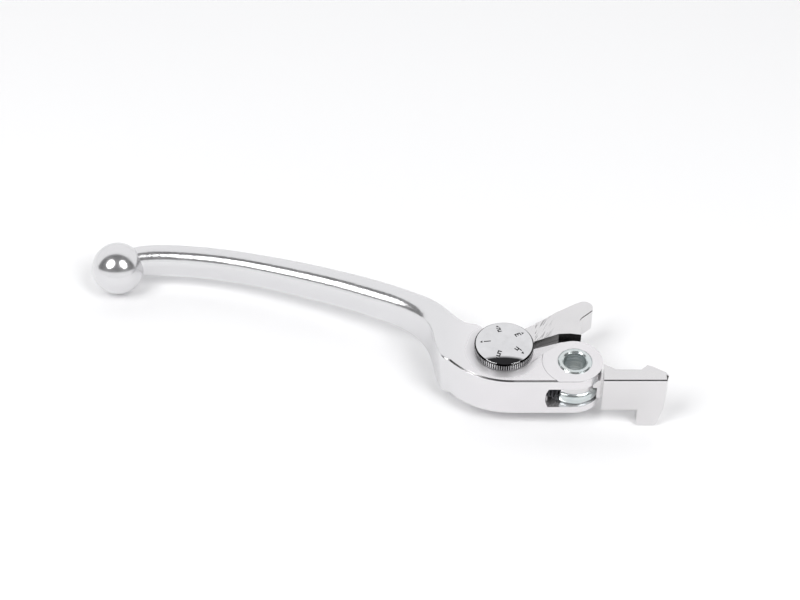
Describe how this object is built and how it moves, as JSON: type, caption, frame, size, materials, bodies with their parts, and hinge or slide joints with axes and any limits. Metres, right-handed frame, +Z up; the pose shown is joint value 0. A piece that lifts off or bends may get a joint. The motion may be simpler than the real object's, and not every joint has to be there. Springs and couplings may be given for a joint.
{
  "type": "clutch lever",
  "caption": "Motorcycle clutch lever with a ball-ended curved blade, a numbered reach dial, a hidden cam and a push arm turning on a pivot collar.",
  "frame": {"origin": "on the pivot axis, at mid height of the pivot collar", "axes": "+X from the pivot towards the tail, so the ball end lies towards -X; +Y towards the handlebar grip; +Z up along the pivot axis, out of the dial side"},
  "size_m": [0.2063, 0.0728, 0.0288],
  "materials": {
    "blade_alloy": "polished cast alloy, bright rounded handle and satin flat faces",
    "knocker_alloy": "ground alloy, fine lengthwise grain",
    "dial_chrome": "domed bright chrome with a dark knurled rim and dark sunk numerals",
    "plated_steel": "bright zinc plate with a faint blue tint",
    "turned_steel": "plain turned steel",
    "spring_steel": "oiled black spring wire"
  },
  "bodies": {
    "collar": {"pivot_collar": "plated_steel"},
    "blade": {"blade": "blade_alloy", "preload_spring": "spring_steel"},
    "dial": {"adjuster_dial": "dial_chrome", "cam_shaft": "turned_steel", "cam_washer": "turned_steel", "cam_clip": "spring_steel"},
    "knocker": {"knocker": "knocker_alloy", "thrust_ring": "plated_steel"}
  },
  "joints": [
    {"name": "lever_pull", "type": "hinge", "parent": "collar", "child": "blade", "pos_m": [0, 0, 0], "axis": [0, 0, -1], "range_deg": [0, 20]},
    {"name": "dial_turn", "type": "hinge", "parent": "blade", "child": "dial", "pos_m": [-0.0245, 0.0052, 0], "axis": [0, 0, 1], "range_deg": [0, 288]},
    {"name": "reach_swing", "type": "hinge", "parent": "blade", "child": "knocker", "pos_m": [0, 0, 0], "axis": [0, 0, 1], "range_deg": [-4.8, 0], "deforming": ["preload_spring"]}
  ],
  "couplings": [
    {"joint": "reach_swing", "follows": "dial_turn", "ratio": -0.01624}
  ]
}
